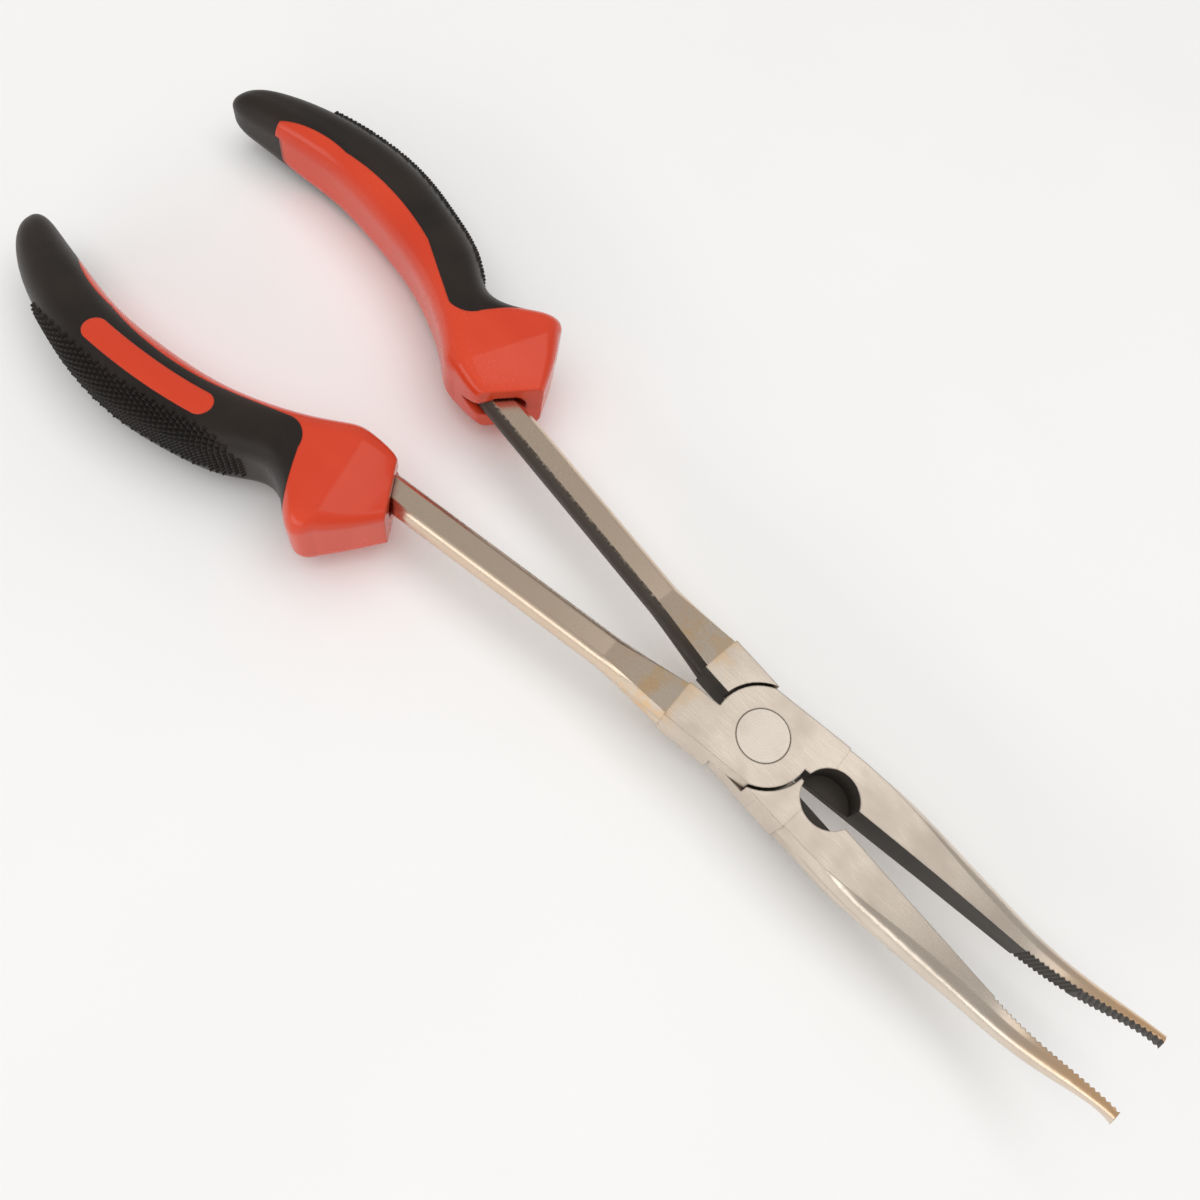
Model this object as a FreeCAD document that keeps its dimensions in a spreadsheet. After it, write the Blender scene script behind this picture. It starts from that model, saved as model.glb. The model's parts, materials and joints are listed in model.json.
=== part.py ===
"""Long-reach bent-nose pliers: two forged levers on a flush rivet, each with a two-shot grip.

Every lever and grip is drawn in its own closed frame: the pivot axis is Z through the origin,
the jaws point along +X, and the two jaw faces meet on y = 0. The levers are then turned apart
by half the opening angle each. z = 0 is the underside of the joint.
"""
import FreeCAD, Part
import math
import os

import Sketcher

V = FreeCAD.Vector

# Driving dimensions, in millimetres and degrees.
SIZES = {
    # joint
    "joint_thickness": 9.0,
    "head_half_width": 9.6,
    "head_front_station": 15.0,
    "disc_radius": 10.2,
    "lap_gap": 0.65,
    "lap_clearance": 0.2,
    "shoulder_station": 17.5,
    "throat_gap": 0.75,
    "face_relief": 0.28,
    "half_opening": 5.0,
    # rivet
    "rivet_head_radius": 5.5,
    "rivet_head_depth": 2.2,
    "rivet_shank_radius": 4.0,
    "rivet_running_fit": 0.05,
    # bare shank and the tang that carries on inside the grip
    "shank_width": 7.3,
    "shank_depth": 5.8,
    "shank_flat": 4.0,
    "shank_offset": 3.9,
    "shank_angle": 2.56,
    "shank_start": 16.0,
    "shank_taper_start": 34.0,
    "tang_bend_station": 93.0,
    "tang_bend_radius": 48.0,
    "tang_bend_angle": 22.0,
    "tang_slope_length": 9.0,
    "tang_return_radius": 60.0,
    "tang_return_angle": 34.0,
    # round recess behind the jaw faces, open at the top
    "pipe_recess_station": 17.4,
    "pipe_recess_drop": 1.4,
    "pipe_recess_radius": 6.0,
    "pipe_recess_depth": 6.7,
    # jaw sections: half depth, ridge width, width of the flat top
    "root_station": 8.0,
    "root_half_depth": 4.5,
    "root_ridge": 9.6,
    "root_flat": 9.3,
    "recess_end_station": 21.0,
    "recess_end_half_depth": 4.45,
    "recess_end_ridge": 9.6,
    "recess_end_flat": 9.1,
    "flank_station": 31.0,
    "flank_half_depth": 4.3,
    "flank_ridge": 9.3,
    "flank_flat": 7.9,
    "middle_station": 42.0,
    "middle_half_depth": 4.0,
    "middle_ridge": 8.3,
    "middle_flat": 5.6,
    "narrow_station": 53.0,
    "narrow_half_depth": 3.6,
    "narrow_ridge": 6.8,
    "narrow_flat": 3.5,
    "bend_station": 63.0,
    "bend_half_depth": 3.15,
    "bend_ridge": 5.3,
    "bend_flat": 2.1,
    "bend_radius": 30.0,
    "bend_angle": 23.0,
    "knee_half_depth": 2.95,
    "knee_ridge": 4.5,
    "knee_flat": 1.6,
    "nose_half_depth": 2.75,
    "nose_ridge": 3.7,
    "nose_flat": 1.1,
    "nose_length": 15.7,
    "tip_half_depth": 2.15,
    "tip_ridge": 1.8,
    "tip_flat": 0.7,
    # cross teeth
    "tooth_pitch": 1.05,
    "tooth_depth": 0.38,
    "straight_teeth": 11,
    "nose_teeth": 15,
    # grip sections along -X: inner edge, outer edge, half depth, drop below the shank's level, lean
    "mouth_station": 94.3,
    "mouth_inner": 4.1,
    "mouth_outer": 18.0,
    "mouth_half_depth": 6.6,
    "mouth_drop": 0.5,
    "mouth_lean": 32.0,
    "brow_station": 95.0,
    "brow_inner": 2.9,
    "brow_outer": 22.4,
    "brow_half_depth": 7.3,
    "brow_drop": 0.0,
    "brow_lean": 16.0,
    "crest_station": 100.4,
    "crest_inner": 2.9,
    "crest_outer": 27.7,
    "crest_half_depth": 9.1,
    "crest_drop": 0.0,
    "crest_lean": 15.0,
    "flare_station": 105.5,
    "flare_inner": 3.8,
    "flare_outer": 26.8,
    "flare_half_depth": 9.2,
    "flare_drop": 0.2,
    "flare_lean": 8.0,
    "neck_station": 110.5,
    "neck_inner": 7.0,
    "neck_outer": 22.2,
    "neck_half_depth": 9.4,
    "neck_drop": 0.6,
    "rise_station": 120.0,
    "rise_inner": 11.0,
    "rise_outer": 26.0,
    "rise_half_depth": 9.8,
    "rise_drop": 1.4,
    "heel_station": 133.0,
    "heel_inner": 14.2,
    "heel_outer": 29.9,
    "heel_half_depth": 9.9,
    "heel_drop": 2.4,
    "palm_station": 147.0,
    "palm_inner": 15.4,
    "palm_outer": 31.6,
    "palm_half_depth": 10.0,
    "palm_drop": 3.0,
    "fall_station": 161.0,
    "fall_inner": 15.1,
    "fall_outer": 30.1,
    "fall_half_depth": 9.6,
    "fall_drop": 3.2,
    "curl_station": 174.0,
    "curl_inner": 12.5,
    "curl_outer": 26.4,
    "curl_half_depth": 8.6,
    "curl_drop": 3.3,
    "tail_station": 184.5,
    "tail_inner": 10.0,
    "tail_outer": 21.6,
    "tail_half_depth": 7.2,
    "tail_drop": 3.3,
    "butt_station": 190.2,
    "butt_inner": 9.0,
    "butt_outer": 17.2,
    "butt_half_depth": 5.6,
    "butt_drop": 3.3,
    "end_station": 192.8,
    "end_inner": 9.8,
    "end_outer": 13.8,
    "end_half_depth": 3.0,
    "end_drop": 3.3,
    # overmould
    "cover_thickness": 1.8,
    "cover_front_station": 100.5,
    "cover_point_station": 106.8,
    "cover_point_offset": 16.0,
    "cover_turn_station": 113.0,
    "cover_turn_offset": 11.8,
    "cover_turn_radius": 5.5,
    "cover_edge_station": 129.0,
    "cover_edge_offset": 18.6,
    "cover_curl_station": 160.0,
    "cover_curl_offset": 19.2,
    "cover_edge_radius": 68.0,
    "cover_window_margin": 2.4,
    "cover_tail_station": 178.0,
    "cover_tail_offset": 13.5,
    "cover_tail_radius": 34.0,
    "pill_front_station": 128.2,
    "pill_front_offset": 21.6,
    "pill_rear_station": 156.4,
    "pill_rear_offset": 23.4,
    "pill_radius": 2.8,
    "pill_bow_radius": 130.0,
    # mouth of the grip round the shank
    "mouth_recess_station": 90.6,
    "mouth_slot_station": 97.0,
    "mouth_play": 0.6,
    "mouth_front_station": 82.0,
}

doc = FreeCAD.newDocument("needle_nose_pliers")
sheet = doc.addObject("Spreadsheet::Sheet", "Sizes")
for row, (alias, value) in enumerate(SIZES.items(), start=1):
    sheet.set(f"A{row}", alias)
    sheet.set(f"B{row}", str(value))
    sheet.setAlias(f"B{row}", alias)
doc.recompute()


def cell(alias):
    """The name that expressions use for a driving dimension."""
    return f"Sizes.{alias}"


def value_of(expression):
    """The number that an expression stands for."""
    return float(sheet.evalExpression(expression))


def plane(body, role):
    """One of the body's own origin planes."""
    return next(f for f in body.Origin.OriginFeatures if f.Role == role)


def new_sketch(body, name, role, offsets=None, turn_axis=None, turn=None):
    """A sketch on an origin plane, moved by offset expressions and turned about an axis of its own."""
    sketch = body.newObject("Sketcher::SketchObject", name)
    sketch.AttachmentSupport = [(plane(body, role), "")]
    sketch.MapMode = "FlatFace"
    if turn_axis is not None:
        sketch.AttachmentOffset = FreeCAD.Placement(V(0, 0, 0), FreeCAD.Rotation(turn_axis, value_of(turn)))
        sketch.setExpression("AttachmentOffset.Rotation.Angle", f"{turn} * 1 deg")
    for axis, expression in (offsets or {}).items():
        sketch.setExpression(f"AttachmentOffset.Base.{axis}", expression)
    return sketch


def bind(sketch, constraint, expression):
    index = sketch.addConstraint(constraint)
    sketch.setExpression(f"Constraints[{index}]", expression)


def pin_vertex(sketch, edge, end, x, y):
    """Ties one end of an edge to two coordinate expressions."""
    bind(sketch, Sketcher.Constraint("DistanceX", edge, end, value_of(x)), x)
    bind(sketch, Sketcher.Constraint("DistanceY", edge, end, value_of(y)), y)


def arc_through(start, end, radius, side):
    """The minor arc between two points; side +1 bulges to the left of the way from start to end."""
    chord = end.sub(start)
    half = chord.Length / 2
    sagitta = radius - math.sqrt(max(radius * radius - half * half, 0.0))
    left = V(-chord.y, chord.x, 0).normalize()
    middle = start.add(end).multiply(0.5).add(left.multiply(side * sagitta))
    return Part.Arc(start, middle, end)


def draw_outline(sketch, corners, closed=True):
    """A chain of edges. Each corner is (x, y) or (x, y, radius, side) when an arc leaves it."""
    points = [V(value_of(c[0]), value_of(c[1]), 0) for c in corners]
    count = len(corners) if closed else len(corners) - 1
    edges = []
    for i in range(count):
        start = points[i]
        end = points[(i + 1) % len(points)]
        if len(corners[i]) == 2:
            edges.append(sketch.addGeometry(Part.LineSegment(start, end)))
        else:
            curve = arc_through(start, end, value_of(corners[i][2]), corners[i][3])
            edges.append(sketch.addGeometry(curve))
    for i in range(count):
        edge = edges[i]
        start_end = near_end(sketch, edge, points[i])
        pin_vertex(sketch, edge, start_end, corners[i][0], corners[i][1])
        if closed or i < count - 1:
            following = edges[(i + 1) % count]
            target = near_end(sketch, following, points[(i + 1) % len(points)])
            sketch.addConstraint(Sketcher.Constraint("Coincident", edge, 3 - start_end, following, target))
        else:
            pin_vertex(sketch, edge, 3 - start_end, corners[-1][0], corners[-1][1])
        if len(corners[i]) == 4:
            radius = corners[i][2]
            bind(sketch, Sketcher.Constraint("Radius", edge, value_of(radius)), radius)


def near_end(sketch, edge, point):
    """1 or 2, for the end of the edge that lies on the point."""
    return min((1, 2), key=lambda end: sketch.getPoint(edge, end).distanceToPoint(point))


def draw_circle(sketch, x, y, radius):
    circle = Part.Circle(V(value_of(x), value_of(y), 0), V(0, 0, 1), value_of(radius))
    edge = sketch.addGeometry(circle)
    pin_vertex(sketch, edge, 3, x, y)
    bind(sketch, Sketcher.Constraint("Radius", edge, value_of(radius)), radius)


def pad(body, name, sketch, length, midplane=False):
    feature = body.newObject("PartDesign::Pad", name)
    feature.Profile = sketch
    feature.Midplane = midplane
    feature.setExpression("Length", length)
    return feature


def pocket(body, name, sketch, length, reversed_side=False, midplane=False):
    feature = body.newObject("PartDesign::Pocket", name)
    feature.Profile = sketch
    feature.Reversed = reversed_side
    feature.Midplane = midplane
    feature.setExpression("Length", length)
    return feature


def loft(body, name, sections):
    feature = body.newObject("PartDesign::AdditiveLoft", name)
    feature.Profile = sections[0]
    feature.Sections = sections[1:]
    return feature


MID = "Sizes.joint_thickness / 2"


def oval_corners(centre, width, depth, flat, roundness=0.9):
    """The shank's section about mid height: flat top and bottom, rounded flanks that meet in a ridge."""
    rise = f"{depth} / 2"
    run = f"({width} - {flat}) / 2"
    radius = f"{roundness} * sqrt(({rise})^2 + ({run})^2)"
    return [
        (f"{centre} - {flat} / 2", f"{MID} + {rise}"),
        (f"{centre} + {flat} / 2", f"{MID} + {rise}", radius, 1),
        (f"{centre} + {width} / 2", MID, radius, 1),
        (f"{centre} + {flat} / 2", f"{MID} - {rise}"),
        (f"{centre} - {flat} / 2", f"{MID} - {rise}", radius, 1),
        (f"{centre} - {width} / 2", MID, radius, 1),
    ]


def mirrored(corners, jaw, coordinate):
    """The same corners for the lever on the other side: x (0) or y (1) changes sign."""
    if jaw > 0:
        return corners
    turned = []
    for corner in corners:
        values = list(corner)
        values[coordinate] = f"-({corner[coordinate]})"
        if len(corner) == 4:
            values[3] = -corner[3]
        turned.append(tuple(values))
    return turned


def shank_path_corners():
    """The tang's route in plan, on the lower side: line, bend outward, line, bend back."""
    lean = "Sizes.shank_angle * 1 deg"
    steep = "(Sizes.shank_angle + Sizes.tang_bend_angle) * 1 deg"
    back = "(Sizes.shank_angle + Sizes.tang_bend_angle - Sizes.tang_return_angle) * 1 deg"
    x_start = "-Sizes.shank_start"
    y_start = f"-(Sizes.shank_offset + Sizes.shank_start * tan({lean}))"
    x_bend = "-Sizes.tang_bend_station"
    y_bend = f"-(Sizes.shank_offset + Sizes.tang_bend_station * tan({lean}))"
    x_slope = f"{x_bend} - Sizes.tang_bend_radius * (sin({steep}) - sin({lean}))"
    y_slope = f"{y_bend} - Sizes.tang_bend_radius * (cos({lean}) - cos({steep}))"
    x_turn = f"{x_slope} - Sizes.tang_slope_length * cos({steep})"
    y_turn = f"{y_slope} - Sizes.tang_slope_length * sin({steep})"
    x_end = f"{x_turn} - Sizes.tang_return_radius * (sin({steep}) - sin({back}))"
    y_end = f"{y_turn} - Sizes.tang_return_radius * (cos({back}) - cos({steep}))"
    return [
        (x_start, y_start),
        (x_bend, y_bend, "Sizes.tang_bend_radius", -1),
        (x_slope, y_slope),
        (x_turn, y_turn, "Sizes.tang_return_radius", 1),
        (x_end, y_end),
    ]


def shank_centre(station):
    """The distance of the shank's centre line from the pivot line at a station along -X."""
    return f"-(Sizes.shank_offset + {station} * tan(Sizes.shank_angle * 1 deg))"


def shank_reach(station):
    """The same distance, counted outward."""
    return f"Sizes.shank_offset + {station} * tan(Sizes.shank_angle * 1 deg)"


def add_shank(body, jaw):
    """The bare shank and its tang: one oval section along the route."""
    path = new_sketch(body, "shank_path", "XY_Plane", {"z": MID})
    draw_outline(path, mirrored(shank_path_corners(), jaw, 1), closed=False)
    section = new_sketch(body, "shank_section", "YZ_Plane", {"z": "-Sizes.shank_start"})
    corners = oval_corners(
        shank_centre(cell("shank_start")), cell("shank_width"), cell("shank_depth"), cell("shank_flat")
    )
    draw_outline(section, mirrored(corners, jaw, 0))
    shank = body.newObject("PartDesign::AdditivePipe", "shank")
    shank.Profile = section
    shank.Spine = path


def add_shoulder(body, jaw):
    """The shank swells into the head between two oval sections."""
    narrow = new_sketch(body, "shoulder_narrow", "YZ_Plane", {"z": "-Sizes.shank_taper_start"})
    centre = shank_centre(cell("shank_taper_start"))
    corners = oval_corners(centre, cell("shank_width"), cell("shank_depth"), cell("shank_flat"))
    draw_outline(narrow, mirrored(corners, jaw, 0))
    wide = new_sketch(body, "shoulder_wide", "YZ_Plane", {"z": "-Sizes.shoulder_station"})
    width = "(Sizes.head_half_width - Sizes.throat_gap)"
    centre = "-(Sizes.head_half_width + Sizes.throat_gap) / 2"
    corners = oval_corners(centre, width, cell("joint_thickness"), f"({width} - 1)", roundness=1.4)
    draw_outline(wide, mirrored(corners, jaw, 0))
    return loft(body, "shoulder", [narrow, wide])


def head_corners():
    """The head in plan: the disc, a wing to the shank below it and a wing to the jaw above it."""
    side = "Sizes.head_half_width"
    rim = "Sizes.disc_radius"
    notch = f"sqrt({rim}^2 - {side}^2)"
    throat = "Sizes.throat_gap"
    heel = f"sqrt({rim}^2 - {throat}^2)"
    relief = "Sizes.face_relief"
    nose = f"sqrt({rim}^2 - {relief}^2)"
    return [
        ("-Sizes.shoulder_station", f"-{throat}"),
        (f"-{heel}", f"-{throat}", rim, 1),
        (f"-{notch}", side),
        ("Sizes.head_front_station", side),
        ("Sizes.head_front_station", relief),
        (nose, relief, rim, 1),
        (notch, f"-{side}"),
        ("-Sizes.shoulder_station", f"-{side}"),
    ]


def jaw_corners(name):
    """Half-oval jaw section about mid height: flat inner face, flat top, rounded flanks."""
    half = cell(f"{name}_half_depth")
    ridge = cell(f"{name}_ridge")
    flat = cell(f"{name}_flat")
    radius = f"0.75 * sqrt({half}^2 + ({ridge} - {flat})^2)"
    if name in ("root", "recess_end"):
        radius = f"2.5 * {half}"
    return [
        ("0", f"-{half}"),
        ("0", half),
        (flat, half, radius, 1),
        (ridge, "0", radius, 1),
        (flat, f"-{half}"),
    ]


def add_jaw(body, jaw):
    """The jaw: straight sections, then sections turned up round the bend and along the nose."""
    lift = "Sizes.bend_angle * 1 deg"
    half_lift = "Sizes.bend_angle / 2 * 1 deg"
    bend_end = f"Sizes.bend_station + Sizes.bend_radius * sin({lift})"
    bend_rise = f"{MID} + Sizes.bend_radius * (1 - cos({lift}))"
    sections = []
    for name in ("root", "recess_end", "flank", "middle", "narrow", "bend"):
        sketch = new_sketch(body, f"jaw_{name}", "YZ_Plane", {"z": cell(f"{name}_station"), "y": MID})
        draw_outline(sketch, mirrored(jaw_corners(name), jaw, 0))
        sections.append(sketch)
    stages = (
        (
            "knee",
            f"Sizes.bend_station + Sizes.bend_radius * sin({half_lift})",
            f"{MID} + Sizes.bend_radius * (1 - cos({half_lift}))",
            "Sizes.bend_angle / 2",
        ),
        ("nose", bend_end, bend_rise, "Sizes.bend_angle"),
        (
            "tip",
            f"{bend_end} + Sizes.nose_length * cos({lift})",
            f"{bend_rise} + Sizes.nose_length * sin({lift})",
            "Sizes.bend_angle",
        ),
    )
    for name, station, height, turn in stages:
        offsets = {"z": station, "y": height}
        sketch = new_sketch(body, f"jaw_{name}", "YZ_Plane", offsets, V(-1, 0, 0), turn)
        draw_outline(sketch, mirrored(jaw_corners(name), jaw, 0))
        sections.append(sketch)
    return loft(body, "jaw", sections)


def cut_openings(body, jaw, front):
    """The half-round pipe recess, the lap recess under or over the disc, and the rivet's bore."""
    hollow = new_sketch(body, "pipe_recess_plan", "XY_Plane", {"z": "Sizes.joint_thickness"})
    drop = f"{-jaw} * Sizes.pipe_recess_drop"
    draw_circle(hollow, "Sizes.pipe_recess_station", drop, "Sizes.pipe_recess_radius")
    pocket(body, "pipe_recess", hollow, "Sizes.pipe_recess_depth")
    depth = "(Sizes.joint_thickness + Sizes.lap_clearance) / 2"
    recess = new_sketch(body, "lap_plan", "XY_Plane", {} if front else {"z": "Sizes.joint_thickness"})
    draw_circle(recess, "0", "0", "Sizes.disc_radius + Sizes.lap_gap")
    pocket(body, "lap_recess", recess, depth, reversed_side=front)
    bore = new_sketch(body, "bore_plan", "XY_Plane", {"z": "Sizes.joint_thickness"})
    play = "Sizes.rivet_running_fit" if front else "0"
    draw_circle(bore, "0", "0", f"Sizes.rivet_shank_radius + {play}")
    pocket(body, "bore", bore, "Sizes.joint_thickness")
    if front:
        seat = new_sketch(body, "seat_plan", "XY_Plane", {"z": "Sizes.joint_thickness"})
        draw_circle(seat, "0", "0", "Sizes.rivet_head_radius + Sizes.rivet_running_fit")
        pocket(body, "head_seat", seat, "Sizes.rivet_head_depth + Sizes.rivet_running_fit")


def cut_relief(body, jaw):
    """The smooth part of the jaw face is ground back a little, so that the teeth meet first."""
    wedge = new_sketch(body, "relief_plan", "XY_Plane")
    start = "Sizes.pipe_recess_station - 0.9 * Sizes.pipe_recess_radius"
    corners = [
        (start, "-1"),
        (start, "Sizes.face_relief"),
        ("Sizes.middle_station", "Sizes.face_relief"),
        ("Sizes.bend_station - Sizes.tooth_pitch", "0"),
        ("Sizes.bend_station - Sizes.tooth_pitch", "-1"),
    ]
    draw_outline(wedge, mirrored(corners, jaw, 1))
    pocket(body, "face_relief", wedge, "4 * Sizes.joint_thickness", midplane=True)


def cut_teeth(body, jaw):
    """V grooves across the face: a straight row, then a row square to the turned-up nose."""
    lift = "Sizes.bend_angle * 1 deg"
    groove = [
        ("0", "-0.1"),
        ("Sizes.tooth_pitch / 2", "Sizes.tooth_depth"),
        ("Sizes.tooth_pitch", "-0.1"),
    ]
    rows = (
        ("straight", {"x": "Sizes.bend_station"}, None, "Sizes.straight_teeth"),
        (
            "nose",
            {
                "x": f"Sizes.bend_station + Sizes.bend_radius * sin({lift})",
                "z": f"{MID} + Sizes.bend_radius * (1 - cos({lift}))",
            },
            V(0, -1, 0),
            "Sizes.nose_teeth",
        ),
    )
    for name, offsets, axis, count in rows:
        turn = "Sizes.bend_angle" if axis else None
        sketch = new_sketch(body, f"{name}_groove_plan", "XY_Plane", offsets, axis, turn)
        draw_outline(sketch, mirrored(groove, jaw, 1))
        first = pocket(body, f"{name}_groove", sketch, "4 * Sizes.joint_thickness", midplane=True)
        row = body.newObject("PartDesign::LinearPattern", f"{name}_teeth")
        row.Originals = [first]
        row.Direction = (sketch, ["H_Axis"])
        row.setExpression("Length", f"({count} - 1) * Sizes.tooth_pitch")
        row.setExpression("Occurrences", count)
        body.Tip = row


def lever(name, jaw, front):
    """One forging. jaw is +1 when its jaw lies on +Y; front is True for the upper half of the lap."""
    body = doc.addObject("PartDesign::Body", name)
    body.Label = name
    plan = new_sketch(body, "head_plan", "XY_Plane")
    draw_outline(plan, mirrored(head_corners(), jaw, 1))
    pad(body, "head", plan, cell("joint_thickness"))
    add_shank(body, jaw)
    add_shoulder(body, jaw)
    add_jaw(body, jaw)
    doc.recompute()
    cut_openings(body, jaw, front)
    cut_relief(body, jaw)
    cut_teeth(body, jaw)
    open_out(body, jaw)
    return body


def open_out(piece, jaw):
    """Turns a piece from the closed frame to the resting opening."""
    piece.Placement = FreeCAD.Placement(V(0, 0, 0), FreeCAD.Rotation(V(0, 0, 1), 0))
    piece.setExpression("Placement.Rotation.Angle", f"{jaw} * Sizes.half_opening * 1 deg")


def rivet():
    """Flush head and shank, turned about the pivot axis."""
    body = doc.addObject("PartDesign::Body", "pivot_rivet")
    body.Label = "pivot_rivet"
    half = new_sketch(body, "half_profile", "XZ_Plane")
    corners = [
        ("0", "0"),
        ("Sizes.rivet_shank_radius", "0"),
        ("Sizes.rivet_shank_radius", "Sizes.joint_thickness - Sizes.rivet_head_depth"),
        ("Sizes.rivet_head_radius", "Sizes.joint_thickness - Sizes.rivet_head_depth"),
        ("Sizes.rivet_head_radius", "Sizes.joint_thickness"),
        ("0", "Sizes.joint_thickness"),
    ]
    draw_outline(half, corners)
    turned = body.newObject("PartDesign::Revolution", "turned")
    turned.Profile = half
    turned.ReferenceAxis = (half, ["V_Axis"])
    turned.Angle = 360
    return body


def grip_corners(name, inset, roundness):
    """Rounded box section of the grip, between its inner and outer edges."""
    inner = f"-(Sizes.{name}_inner + {inset})"
    outer = f"-(Sizes.{name}_outer - {inset})"
    half = f"(Sizes.{name}_half_depth - {inset})"
    corner = f"{roundness} * {half}"
    return [
        (outer, f"-{half} + {corner}"),
        (outer, f"{half} - {corner}", corner, 1),
        (f"{outer} + {corner}", half),
        (f"{inner} - {corner}", half, corner, 1),
        (inner, f"{half} - {corner}"),
        (inner, f"-{half} + {corner}", corner, 1),
        (f"{inner} - {corner}", f"-{half}"),
        (f"{outer} + {corner}", f"-{half}", corner, 1),
    ]


GRIP_SECTIONS = (
    ("mouth", 0.28),
    ("brow", 0.36),
    ("crest", 0.42),
    ("flare", 0.6),
    ("neck", 0.6),
    ("rise", 0.62),
    ("heel", 0.64),
    ("palm", 0.64),
    ("fall", 0.64),
    ("curl", 0.66),
    ("tail", 0.7),
    ("butt", 0.65),
    ("end", 0.6),
)


def grip_form(name, jaw, inset):
    """The grip's outer form, or the same form drawn in by the cover's thickness.

    The collar and the handle are two lofts that meet in a ridge at the crest.
    """
    body = doc.addObject("PartDesign::Body", name)
    sections = {}
    for station, roundness in GRIP_SECTIONS:
        offsets = {"z": f"-Sizes.{station}_station", "y": f"{MID} - Sizes.{station}_drop"}
        if station == "end":
            offsets["z"] = f"-Sizes.{station}_station + {inset}"
        leans = f"{station}_lean" in SIZES
        axis = V(0, jaw, 0) if leans else None
        turn = cell(f"{station}_lean") if leans else None
        sketch = new_sketch(body, f"{name}_{station}", "YZ_Plane", offsets, axis, turn)
        draw_outline(sketch, mirrored(grip_corners(station, inset, roundness), jaw, 0))
        sections[station] = sketch
    stations = list(sections)
    ridge = stations.index("crest")
    loft(body, f"{name}_handle", [sections[station] for station in stations[ridge:]])
    loft(body, f"{name}_collar", [sections[station] for station in stations[: ridge + 1]])
    return body


def cover_corners(shift):
    """The cover's edge in plan; the shift moves the long edge towards the inner side."""
    beyond = "-(Sizes.palm_outer + 10)"
    return [
        ("-Sizes.cover_front_station", beyond),
        ("-Sizes.cover_front_station", "-Sizes.crest_outer"),
        ("-Sizes.cover_point_station", "-Sizes.cover_point_offset", "Sizes.cover_turn_radius", -1),
        ("-Sizes.cover_turn_station", "-Sizes.cover_turn_offset"),
        ("-Sizes.cover_edge_station", f"{shift} - Sizes.cover_edge_offset", "Sizes.cover_edge_radius", 1),
        ("-Sizes.cover_curl_station", f"{shift} - Sizes.cover_curl_offset", "Sizes.cover_tail_radius", 1),
        ("-Sizes.cover_tail_station", f"{shift} - Sizes.cover_tail_offset"),
        ("-Sizes.cover_tail_station", "0"),
        ("-Sizes.end_station - 10", "0"),
        ("-Sizes.end_station - 10", beyond),
    ]


def cover_region(name, jaw, pill_up):
    """The part of the plan that the soft cover takes: the outer side and the whole tail.

    The cover reaches further in on the side that has the window.
    """
    body = doc.addObject("PartDesign::Body", name)
    for side, shift, up in (("plain", "0", not pill_up), ("window", "Sizes.cover_window_margin", pill_up)):
        plan = new_sketch(body, f"{name}_{side}_plan", "XY_Plane", {"z": MID})
        draw_outline(plan, mirrored(cover_corners(shift), jaw, 1))
        feature = pad(body, f"{name}_{side}", plan, "4 * Sizes.joint_thickness")
        feature.Reversed = not up
    return body


def pill_region(name, jaw, up):
    """The bowed capsule through which the core shows, on the upper or the under side of the grip."""
    body = doc.addObject("PartDesign::Body", name)
    plan = new_sketch(body, f"{name}_plan", "XY_Plane", {"z": MID})
    lean = "atan((Sizes.pill_rear_offset - Sizes.pill_front_offset)"
    lean += " / (Sizes.pill_rear_station - Sizes.pill_front_station))"
    shift_x = f"Sizes.pill_radius * sin({lean})"
    shift_y = f"Sizes.pill_radius * cos({lean})"
    front = ("-Sizes.pill_front_station", "-Sizes.pill_front_offset")
    rear = ("-Sizes.pill_rear_station", "-Sizes.pill_rear_offset")
    bow = "Sizes.pill_bow_radius"
    end_radius = "Sizes.pill_radius * 1.001"
    corners = [
        (f"{front[0]} - {shift_x}", f"{front[1]} + {shift_y}", bow, 1),
        (f"{rear[0]} - {shift_x}", f"{rear[1]} + {shift_y}", end_radius, -1),
        (f"{rear[0]} + {shift_x}", f"{rear[1]} - {shift_y}", bow, -1),
        (f"{front[0]} + {shift_x}", f"{front[1]} - {shift_y}", end_radius, -1),
    ]
    draw_outline(plan, mirrored(corners, jaw, 1))
    feature = pad(body, f"{name}_pad", plan, "4 * Sizes.joint_thickness")
    feature.Reversed = not up
    return body


def mouth_region(name, jaw):
    """What the grip leaves open: the shank's tang, a recess round it at the mouth and an inner slot."""
    body = doc.addObject("PartDesign::Body", name)
    add_shank(body, jaw)
    start = {"z": "-Sizes.mouth_recess_station"}
    recess = new_sketch(body, f"{name}_recess_section", "YZ_Plane", start)
    centre = shank_centre("Sizes.mouth_station")
    wide = "(Sizes.shank_width + 2 * Sizes.mouth_play)"
    deep = "(Sizes.shank_depth + 2 * Sizes.mouth_play)"
    corners = oval_corners(centre, wide, deep, "(Sizes.shank_flat + Sizes.mouth_play)")
    draw_outline(recess, mirrored(corners, jaw, 0))
    pad(body, f"{name}_recess", recess, "Sizes.mouth_recess_station - Sizes.mouth_front_station")
    slot = new_sketch(body, f"{name}_slot_side", "XZ_Plane")
    corners = [
        ("-Sizes.mouth_slot_station", MID),
        ("-Sizes.mouth_front_station", f"{MID} + Sizes.mouth_half_depth"),
        ("-Sizes.mouth_front_station", f"{MID} - Sizes.mouth_half_depth"),
    ]
    draw_outline(slot, corners)
    feature = pad(body, f"{name}_slot", slot, shank_reach("Sizes.mouth_station"))
    feature.Reversed = jaw < 0
    return body


def boolean(kind, name, base, tool):
    result = doc.addObject(f"Part::{kind}", name)
    result.Base = base
    result.Tool = tool
    return result


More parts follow.
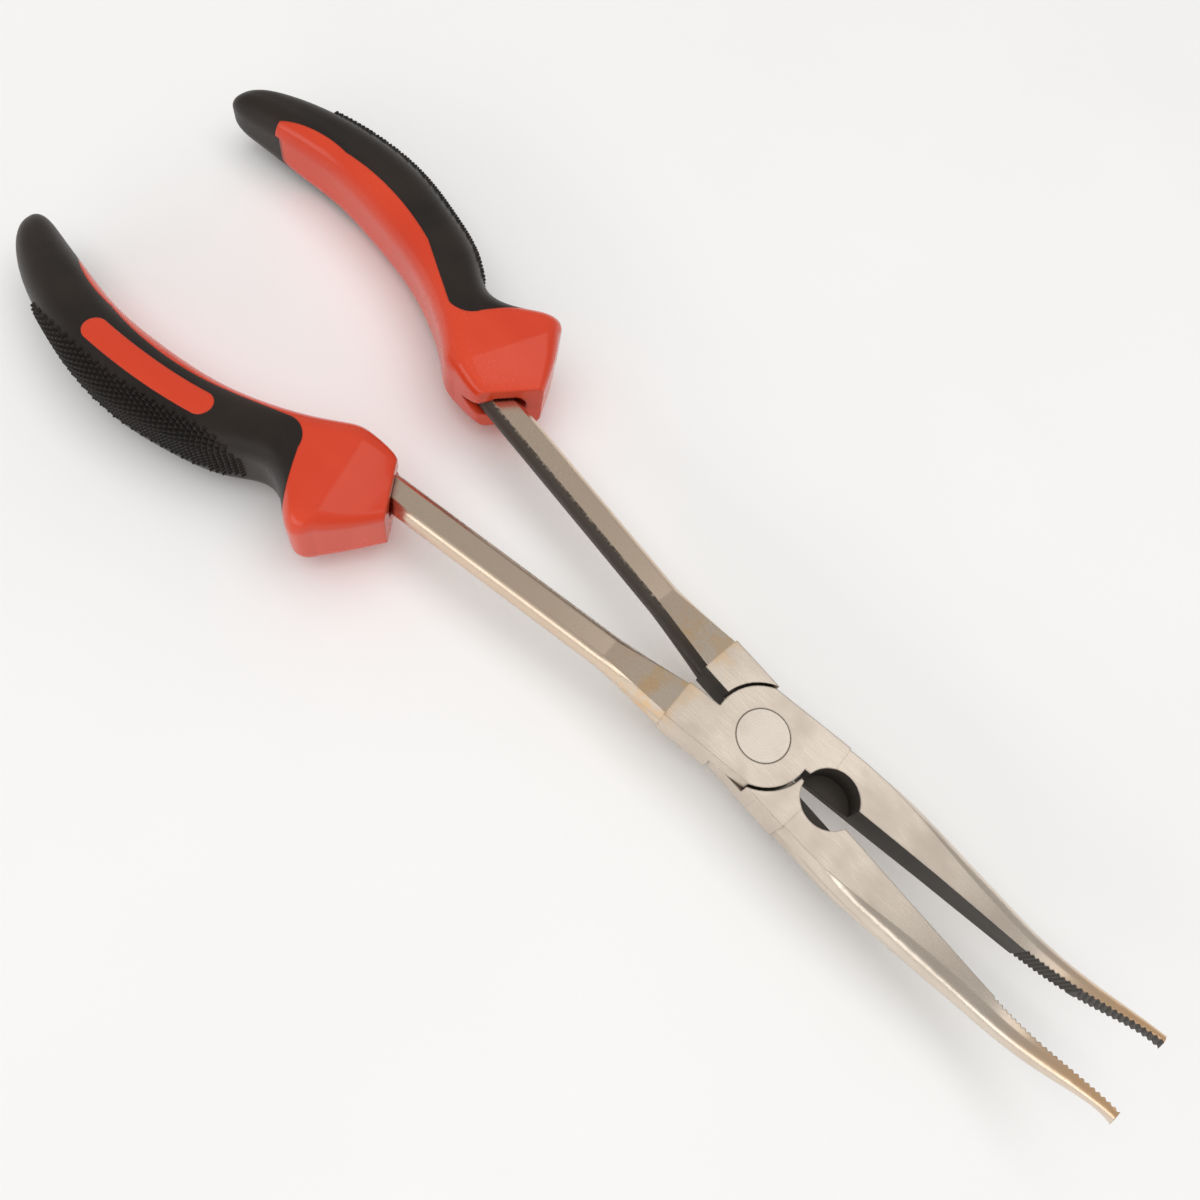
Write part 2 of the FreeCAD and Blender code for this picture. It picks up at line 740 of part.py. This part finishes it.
def grip(prefix, jaw, pill_up):
    """One two-shot grip: the hard core and the soft cover moulded into it."""
    form = grip_form(f"{prefix}_form", jaw, "0")
    inner = grip_form(f"{prefix}_inner_form", jaw, "Sizes.cover_thickness")
    region = boolean("Cut", f"{prefix}_outer_region", cover_region(f"{prefix}_cover_region", jaw, pill_up), inner)
    pill = pill_region(f"{prefix}_pill_region", jaw, pill_up)
    mould = boolean("Cut", f"{prefix}_cover_mould", region, pill)
    cover = boolean("Common", f"{prefix}_grip_cover", form, mould)
    solid_core = boolean("Cut", f"{prefix}_solid_core", form, mould)
    core = boolean("Cut", f"{prefix}_grip_core", solid_core, mouth_region(f"{prefix}_mouth", jaw))
    for piece in (core, cover):
        open_out(piece, jaw)
    return core, cover


def check_cuts():
    """Stops the build when a cut has taken nothing away."""
    for feature in doc.Objects:
        if feature.TypeId in ("PartDesign::Pocket", "PartDesign::LinearPattern"):
            before = feature.BaseFeature.Shape.Volume
        elif feature.TypeId in ("Part::Cut", "Part::Common"):
            before = feature.Base.Shape.Volume
        else:
            continue
        if before - feature.Shape.Volume < 0.01:
            raise RuntimeError(f"{feature.Name} removed nothing")


def check_states():
    """Stops the build when any object has failed to compute."""
    for item in doc.Objects:
        if "Invalid" in item.State or "Error" in item.State:
            raise RuntimeError(f"{item.Name}: {item.State}")


def export(pieces):
    """Writes one STEP file for each piece, named by its label."""
    os.makedirs("parts", exist_ok=True)
    for label, piece in pieces.items():
        piece.Label = label
        shape = piece.Shape
        if shape.isNull() or not shape.isValid() or len(shape.Solids) != 1:
            raise RuntimeError(f"{label} isn't one valid solid")
        shape.exportStep(f"parts/{label}.step")
        print(f"{label}: {shape.Volume:.0f} cubic millimetres")


front_core, front_cover = grip("front", 1, True)
rear_core, rear_cover = grip("rear", -1, False)
pieces = {
    "front_lever": lever("front_lever", 1, True),
    "rear_lever": lever("rear_lever", -1, False),
    "pivot_rivet": rivet(),
    "front_grip_core": front_core,
    "front_grip_cover": front_cover,
    "rear_grip_core": rear_core,
    "rear_grip_cover": rear_cover,
}
doc.recompute()
check_states()
check_cuts()
export(pieces)
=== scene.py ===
"""Looks for the long-reach bent-nose pliers: materials, grip texture, studio and camera."""
import json
import math

import bmesh
import bpy
from mathutils import Euler, Matrix, Vector
from mathutils.bvhtree import BVHTree


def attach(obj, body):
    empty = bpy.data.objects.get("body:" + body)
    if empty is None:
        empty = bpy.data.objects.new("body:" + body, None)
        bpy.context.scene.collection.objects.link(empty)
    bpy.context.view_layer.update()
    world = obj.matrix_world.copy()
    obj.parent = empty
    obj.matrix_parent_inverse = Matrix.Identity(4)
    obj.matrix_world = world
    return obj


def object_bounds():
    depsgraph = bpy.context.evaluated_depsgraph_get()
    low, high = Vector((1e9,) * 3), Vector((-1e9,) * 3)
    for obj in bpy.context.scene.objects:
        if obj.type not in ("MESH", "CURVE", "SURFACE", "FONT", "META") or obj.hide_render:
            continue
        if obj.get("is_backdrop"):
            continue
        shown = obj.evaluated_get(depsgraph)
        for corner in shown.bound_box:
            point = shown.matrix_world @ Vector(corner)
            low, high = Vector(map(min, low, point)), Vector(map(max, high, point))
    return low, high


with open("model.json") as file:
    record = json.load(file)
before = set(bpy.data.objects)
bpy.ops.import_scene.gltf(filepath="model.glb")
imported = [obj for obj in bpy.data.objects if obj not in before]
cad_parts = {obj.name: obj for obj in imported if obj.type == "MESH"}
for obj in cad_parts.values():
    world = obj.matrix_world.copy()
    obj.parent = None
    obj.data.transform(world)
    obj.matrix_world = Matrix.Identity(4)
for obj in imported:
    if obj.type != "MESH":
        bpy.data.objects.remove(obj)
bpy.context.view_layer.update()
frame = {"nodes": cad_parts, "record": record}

MM = 0.001
HALF_OPENING = math.radians(5.0)
MID = frame["record"]["behaviour"]["joints"][0]["pos_m"][2]
JOINT_TOP = 2 * MID

# Places along a lever from the pivot, and the round recess as it lies with the pliers closed
SHANK_FROM, SHANK_TO = -34 * MM, -18 * MM
SHOULDER = -22 * MM
TEETH_FROM, TEETH_TO = 58 * MM, 62 * MM
GOLD_TINT_FROM, GOLD_TINT_TO = 62 * MM, 84 * MM
RECESS_STATION, RECESS_DROP, RECESS_EDGE = 17.4 * MM, 1.4 * MM, 6.05 * MM

# The dark seam round the rivet's head
SEAM_RADIUS = 5.43 * MM

# The studded patch: distances behind the pivot, and angles in degrees round the grip from the way
# its window faces. Staggered columns stand closer together than their pitch.
PATCH_FRONT, PATCH_MIDDLE, PATCH_REAR = 116.5 * MM, 134.0 * MM, 173.0 * MM
PATCH_BEGIN, PATCH_WIDENING, PATCH_END = 39.0, 40.0, 121.0
STUD_PITCH, STUD_ROW_PITCH = 1.42 * MM, 1.22 * MM
STUD_LENGTH, STUD_WIDTH, STUD_HEIGHT, STUD_SINK = 1.3 * MM, 1.12 * MM, 0.8 * MM, 0.15 * MM
STUD_TOP_SHARE = 0.22
STAGGER = 0.86
GRIP_RADIUS, GRIP_CENTRE_DEPTH = 9.6 * MM, 8.6 * MM


# ---------------------------------------------------------------- node helpers
class Shader:
    """A material's node tree, with a short way to add and link nodes."""

    def __init__(self, name):
        self.material = bpy.data.materials.new(name)
        self.material.use_nodes = True
        self.tree = self.material.node_tree
        self.surface = self.tree.nodes["Principled BSDF"]

    def node(self, kind, values=None, **settings):
        node = self.tree.nodes.new(kind)
        for key, value in settings.items():
            setattr(node, key, value)
        for key, value in (values or {}).items():
            self.feed(node.inputs[key], value)
        return node

    def feed(self, socket, value):
        if isinstance(value, bpy.types.NodeSocket):
            self.tree.links.new(value, socket)
        else:
            socket.default_value = value

    def set(self, **values):
        for key, value in values.items():
            self.feed(self.surface.inputs[key.replace("_", " ")], value)

    def math(self, operation, a, b=0.0):
        return self.node("ShaderNodeMath", {0: a, 1: b}, operation=operation).outputs[0]

    def times(self, a, b):
        return self.math("MULTIPLY", a, b)

    def plus(self, a, b):
        return self.math("ADD", a, b)

    def span(self, value, low, high, to_low=0.0, to_high=1.0):
        """Maps low..high to to_low..to_high, smoothly and clamped."""
        node = self.node("ShaderNodeMapRange", interpolation_type="SMOOTHSTEP")
        for socket, number in zip(list(node.inputs)[:5], (value, low, high, to_low, to_high)):
            self.feed(socket, number)
        return node.outputs[0]

    def mix(self, factor, a, b):
        node = self.node("ShaderNodeMix", data_type="RGBA", blend_type="MIX")
        self.feed(node.inputs[0], factor)
        self.feed(node.inputs[6], a)
        self.feed(node.inputs[7], b)
        return node.outputs[2]

    def place(self, scale=(1, 1, 1), turn=0.0):
        """Object coordinates, turned about the pivot axis and stretched."""
        coordinates = self.node("ShaderNodeTexCoord").outputs["Object"]
        values = {"Vector": coordinates, "Scale": scale, "Rotation": (0, 0, turn)}
        return self.node("ShaderNodeMapping", values).outputs[0]

    def noise(self, vector, scale, detail=3.0):
        values = {"Vector": vector, "Scale": scale, "Detail": detail, "Roughness": 0.55}
        return self.node("ShaderNodeTexNoise", values).outputs[0]

    def split(self, vector):
        return self.node("ShaderNodeSeparateXYZ", {0: vector}).outputs

    def bump(self, height, strength, distance, normal=None):
        values = {"Height": height, "Strength": strength, "Distance": distance}
        if normal is not None:
            values["Normal"] = normal
        return self.node("ShaderNodeBump", values).outputs[0]

    def distance(self, x, y):
        squares = [self.math("POWER", value, 2.0) for value in (x, y)]
        return self.math("SQRT", self.plus(*squares))

    def soft_edges(self, radius):
        return self.node("ShaderNodeBevel", {"Radius": radius}, samples=6).outputs[0]

    # Ambient occlusion, which the materials use to paint shade into crevices.
    def crevices(self, distance):
        values = {"Distance": distance}
        return self.node("ShaderNodeAmbientOcclusion", values, samples=8).outputs["AO"]


def rgb(red, green, blue):
    return (red, green, blue, 1.0)


def plate_colour(s, plain, station, upness, clouds):
    """Nickel-chrome plate, warmer on the shanks, gold-tinted on the tips, most on upward faces, and
    in patches round the shoulders.
    """
    colour = s.mix(s.span(clouds, 0.35, 0.7), rgb(0.77, 0.675, 0.575), rgb(0.70, 0.605, 0.51))
    warm = s.mix(clouds, rgb(0.80, 0.64, 0.50), rgb(0.70, 0.55, 0.42))
    colour = s.mix(s.span(station, SHANK_FROM, SHANK_TO, 0.9, 0.0), colour, warm)
    upward = s.span(upness, 0.5, 0.85, 0.12, 1.0)
    tips = s.times(s.span(station, GOLD_TINT_FROM, GOLD_TINT_TO, 0.0, 0.95), upward)
    colour = s.mix(tips, colour, rgb(0.93, 0.60, 0.34))
    away = s.math("ABSOLUTE", s.math("SUBTRACT", station, SHOULDER))
    patches = s.span(s.noise(plain, 200.0), 0.40, 0.60, 0.1, 0.8)
    near = s.times(s.span(away, 2 * MM, 11 * MM, 1.0, 0.0), patches)
    return s.mix(near, colour, rgb(0.82, 0.55, 0.29))


def painted_shade(s, plain, closed, station, sideways, jaw, dark_from, dark_to):
    """How much painted shade a face gets, from 0 to 1: a near-black stand-in for shade and dark
    reflection, coming in as a face turns inward between the two given amounts, sooner on the teeth.
    The outer side of the joint is kept out, and the inside of the round recess is painted as shade
    too."""
    inward = s.times(sideways, s.times(s.math("SIGN", station), -jaw))
    inward = s.times(inward, s.span(station, TEETH_FROM, TEETH_TO, 1.0, 1.4))
    ragged = s.plus(inward, s.span(s.noise(plain, 1400.0), 0.3, 0.7, -0.07, 0.07))
    outside = s.span(s.math("ABSOLUTE", closed[1]), 6.5 * MM, 7.5 * MM)
    beside = s.times(outside, s.span(s.math("ABSOLUTE", closed[0]), 14 * MM, 17 * MM, 1.0, 0.0))
    faces = s.span(ragged, dark_from, dark_to, 0.0, 0.95)
    faces = s.times(faces, s.math("SUBTRACT", 1.0, beside))
    reach = s.distance(s.math("SUBTRACT", closed[0], RECESS_STATION),
                       s.plus(closed[1], jaw * RECESS_DROP))
    recess = s.times(s.span(reach, RECESS_EDGE, RECESS_EDGE + 0.1 * MM, 1.0, 0.0),
                     s.span(closed[2], JOINT_TOP - 0.5 * MM, JOINT_TOP - 0.15 * MM, 0.95, 0.0))
    return s.math("MAXIMUM", faces, recess)


def steel_material(name, jaw, dark_from, dark_to):
    """Satin plate on a forging, with painted shade and dark reflection on the inward-turned faces.
    jaw is the side of Y that the lever's jaw is on."""
    s = Shader(name)
    plain = s.place()
    along = s.place(scale=(1, 14, 14), turn=-jaw * HALF_OPENING)
    closed = s.split(s.place(turn=-jaw * HALF_OPENING))
    facing = s.split(s.node("ShaderNodeTexCoord").outputs["Normal"])
    station = s.split(plain)[0]
    clouds = s.noise(plain, 90.0)
    brushed = s.noise(along, 260.0, detail=4.0)
    shade_mask = painted_shade(s, plain, closed, station, facing[1], jaw, dark_from, dark_to)
    colour = plate_colour(s, plain, station, facing[2], clouds)
    # Painted shade: the inward-turned faces and the round recess are coloured near black.
    colour = s.mix(shade_mask, colour, rgb(0.022, 0.017, 0.014))
    # Painted shade: crevices, where ambient light is occluded, are darkened.
    crevice_shade = s.span(s.crevices(1.5 * MM), 0.25, 0.95, 0.75, 0.0)
    colour = s.mix(crevice_shade, colour, rgb(0.05, 0.04, 0.035))
    roughness = s.plus(s.span(brushed, 0.3, 0.7, 0.24, 0.29), s.span(clouds, 0.3, 0.7, 0.0, 0.05))
    roughness = s.plus(roughness, s.times(shade_mask, 0.2))
    fine = s.bump(brushed, 0.06, 0.02 * MM, s.soft_edges(0.35 * MM))
    dents = s.bump(s.noise(plain, 420.0, detail=2.0), 0.06, 0.06 * MM, fine)
    # Metal only where no shade is painted.
    unshaded = s.math("SUBTRACT", 1.0, shade_mask)
    s.set(Base_Color=colour, Metallic=unshaded, Roughness=roughness, Normal=dents)
    s.set(Specular_IOR_Level=0.3)
    return s.material


def rivet_material():
    """The same plate on the rivet, with a dark seam round the head."""
    s = Shader("rivet_steel")
    plain = s.place()
    x, y, _ = s.split(plain)
    wave = {"Vector": plain, "Scale": 520.0, "Distortion": 1.2, "Detail": 2.0}
    turned = s.node("ShaderNodeTexWave", wave, wave_type="RINGS", rings_direction="Z").outputs[0]
    clouds = s.span(s.noise(plain, 160.0), 0.35, 0.7)
    colour = s.mix(clouds, rgb(0.77, 0.69, 0.60), rgb(0.70, 0.62, 0.535))
    from_seam = s.math("ABSOLUTE", s.math("SUBTRACT", s.distance(x, y), SEAM_RADIUS))
    seam = s.span(from_seam, 0.03 * MM, 0.13 * MM, 0.85, 0.0)
    colour = s.mix(seam, colour, rgb(0.10, 0.07, 0.05))
    roughness = s.span(turned, 0.0, 1.0, 0.26, 0.28)
    normal = s.bump(turned, 0.03, 0.01 * MM, s.soft_edges(0.15 * MM))
    s.set(Base_Color=colour, Metallic=1.0, Roughness=roughness, Normal=normal)
    return s.material


def red_material():
    """Glossy moulded plastic, with a faint flow pattern and a very fine peel."""
    s = Shader("hard_red")
    plain = s.place()
    flow = s.noise(s.place(scale=(0.6, 1.6, 1.0)), 60.0, detail=1.0)
    peel = s.noise(plain, 1400.0, detail=2.0)
    colour = s.mix(s.span(flow, 0.3, 0.72), rgb(0.68, 0.048, 0.012), rgb(0.73, 0.060, 0.017))
    # Painted shade: crevices, where ambient light is occluded, are darkened to a deep red.
    crevice_shade = s.span(s.crevices(2 * MM), 0.2, 0.9, 0.6, 0.0)
    colour = s.mix(crevice_shade, colour, rgb(0.30, 0.012, 0.006))
    roughness = s.plus(s.span(peel, 0.3, 0.7, 0.22, 0.25), s.span(flow, 0.3, 0.7, 0.0, 0.03))
    normal = s.bump(peel, 0.05, 0.01 * MM, s.soft_edges(0.9 * MM))
    s.set(Base_Color=colour, Roughness=roughness, Normal=normal, Specular_IOR_Level=0.4)
    s.set(Subsurface_Weight=0.08, Subsurface_Scale=1.0 * MM, Coat_Weight=0.2, Coat_Roughness=0.08)
    s.surface.inputs["Subsurface Radius"].default_value = (1.0, 0.25, 0.1)
    return s.material


def black_material():
    """Satin soft rubber with a fine moulded grain and faint paler clouds."""
    s = Shader("soft_black")
    plain = s.place()
    grain = s.noise(plain, 2200.0, detail=3.0)
    clouds = s.noise(plain, 70.0)
    colour = s.mix(s.span(clouds, 0.3, 0.7), rgb(0.012, 0.008, 0.006), rgb(0.022, 0.015, 0.011))
    # Painted shade: crevices, where ambient light is occluded, are darkened to near black.
    crevice_shade = s.span(s.crevices(1.2 * MM), 0.2, 0.9, 0.7, 0.0)
    colour = s.mix(crevice_shade, colour, rgb(0.004, 0.004, 0.004))
    roughness = s.plus(s.span(grain, 0.3, 0.7, 0.40, 0.52), s.span(clouds, 0.3, 0.7, -0.03, 0.03))
    normal = s.bump(grain, 0.22, 0.08 * MM, s.soft_edges(0.3 * MM))
    s.set(Base_Color=colour, Roughness=roughness, Normal=normal, Specular_IOR_Level=0.28)
    s.set(Sheen_Weight=0.08, Sheen_Roughness=0.5)
    return s.material


def clothe(node, material):
    for slot in frame["nodes"][node].material_slots:
        slot.material = material


red = red_material()
black = black_material()
clothe("front_lever", steel_material("steel_front", 1, 0.70, 0.92))
clothe("rear_lever", steel_material("steel_rear", -1, 0.28, 0.60))
clothe("pivot_rivet", rivet_material())
for side in ("front", "rear"):
    clothe(f"{side}_grip_core", red)
    clothe(f"{side}_grip_cover", black)


# ---------------------------------------------------------------- grip texture
def stud(mesh, place, outward, along):
    """One blunt pyramid standing on the grip's surface, its base sunk a little way in."""
    across = outward.cross(along)
    rings = []
    for level, share in ((-STUD_SINK, 1.0), (STUD_HEIGHT, STUD_TOP_SHARE)):
        ring = []
        for a, b in ((-1, -1), (1, -1), (1, 1), (-1, 1)):
            sideways = along * (a * STUD_LENGTH / 2) + across * (b * STUD_WIDTH / 2)
            ring.append(mesh.verts.new(place + outward * level + sideways * share))
        rings.append(ring)
    base, top = rings
    mesh.faces.new(base[::-1])
    mesh.faces.new(top)
    for k in range(4):
        n = (k + 1) % 4
        mesh.faces.new((base[k], base[n], top[n], top[k]))


def first_angle(station):
    """Where a column begins: nearest the window in the patch's middle, further off at both ends."""
    if station > PATCH_MIDDLE:
        reach = (station - PATCH_MIDDLE) / (PATCH_REAR - PATCH_MIDDLE)
        steepness = 3
    else:
        reach = (PATCH_MIDDLE - station) / (PATCH_MIDDLE - PATCH_FRONT)
        steepness = 5
    return math.radians(PATCH_BEGIN + PATCH_WIDENING * reach ** steepness)


def grip_studs(side, jaw, pill):
    """Columns of small pyramids round the outer back of a grip, every second one shifted by half a
    pitch. pill is +1 when the window faces up."""
    cover = frame["nodes"][f"{side}_grip_cover"]
    tree = BVHTree.FromObject(cover, bpy.context.evaluated_depsgraph_get())
    turn = Matrix.Rotation(jaw * HALF_OPENING, 3, "Z")
    outer = turn @ Vector((0, -jaw, 0))
    lengthwise = turn @ Vector((1, 0, 0))
    step = STUD_ROW_PITCH / GRIP_RADIUS
    mesh = bmesh.new()
    column = 0
    station = PATCH_FRONT
    while station < PATCH_REAR:
        start = turn @ Vector((-station, -jaw * 60 * MM, MID))
        edge = tree.ray_cast(start, -outer)[0]
        centre = edge - outer * GRIP_CENTRE_DEPTH
        angle = first_angle(station) + (0.5 * step if column % 2 else 0.0)
        while angle < math.radians(PATCH_END):
            way = outer * math.sin(angle) + Vector((0, 0, pill * math.cos(angle)))
            hit, normal, _, _ = tree.ray_cast(centre + way * 40 * MM, -way)
            if hit is not None and (hit - centre).length < 20 * MM:
                along = (lengthwise - normal * lengthwise.dot(normal)).normalized()
                stud(mesh, hit, normal, along)
            angle += step
        station += STUD_PITCH * STAGGER
        column += 1
    data = bpy.data.meshes.new(f"{side}_grip_studs")
    mesh.to_mesh(data)
    mesh.free()
    piece = bpy.data.objects.new(f"{side}_grip_studs", data)
    bpy.context.scene.collection.objects.link(piece)
    data.materials.append(black)
    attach(piece, f"{side}_half")


grip_studs("front", 1, 1)
grip_studs("rear", -1, -1)


# ---------------------------------------------------------------- studio
def area_light(name, place, target, size, radiance, glossy=True):
    """A soft box of a given brightness. One that isn't glossy lights surfaces without showing in
    them."""
    data = bpy.data.lights.new(name, "AREA")
    data.shape = "RECTANGLE"
    data.size, data.size_y = size
    data.energy = radiance * math.pi * size[0] * size[1]
    light = bpy.data.objects.new(name, data)
    light.location = place
    light.rotation_euler = (Vector(target) - Vector(place)).to_track_quat("-Z", "Y").to_euler()
    light.visible_glossy = glossy
    bpy.context.scene.collection.objects.link(light)


def studio():
    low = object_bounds()[0]
    mesh = bpy.data.meshes.new("floor")
    grid = bmesh.new()
    bmesh.ops.create_grid(grid, x_segments=2, y_segments=2, size=3.0)
    grid.to_mesh(mesh)
    grid.free()
    floor = bpy.data.objects.new("floor", mesh)
    floor.location = (0, 0, low[2] - 0.2 * MM)
    bpy.context.scene.collection.objects.link(floor)
    s = Shader("floor_paper")
    tone = s.noise(s.place(), 9.0)
    colour = s.mix(s.span(tone, 0.3, 0.7), rgb(0.965, 0.965, 0.96), rgb(0.985, 0.985, 0.98))
    s.set(Base_Color=colour, Roughness=0.85)
    mesh.materials.append(s.material)
    floor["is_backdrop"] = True
    world = bpy.data.worlds.new("studio")
    world.use_nodes = True
    backdrop = world.node_tree.nodes["Background"]
    backdrop.inputs["Color"].default_value = (1.0, 0.985, 0.965, 1.0)
    backdrop.inputs["Strength"].default_value = 0.45
    bpy.context.scene.world = world
    area_light("overhead", place=(0.12, 0.37, 0.92), target=(0, 0, 0), size=(0.42, 0.42),
               radiance=0.75)
    area_light("front_strip", place=(-0.1, -1.0, 0.36), target=(-0.03, 0, 0), size=(1.5, 0.32),
               radiance=1.7)
    area_light("tent", place=(0, 0, 1.1), target=(0, 0, 0), size=(1.5, 1.5), radiance=1.15,
               glossy=False)


def camera():
    """Stands high on the -Y side of the joint and looks down at the middle of the pliers."""
    place = Vector((-7.55, -78.46, 203.64)) * MM
    tilt, roll, heading = (math.radians(angle) for angle in (21.67, -8.06, 43.76))
    data = bpy.data.cameras.new("camera")
    data.sensor_width = 36.0
    data.lens = 31.69
    data.clip_start = 0.01
    lens = bpy.data.objects.new("camera", data)
    lens.matrix_world = Matrix.LocRotScale(place, Euler((tilt, roll, heading)), None)
    bpy.context.scene.collection.objects.link(lens)
    bpy.context.scene.camera = lens


studio()
camera()
bpy.context.scene.view_settings.view_transform = "Standard"
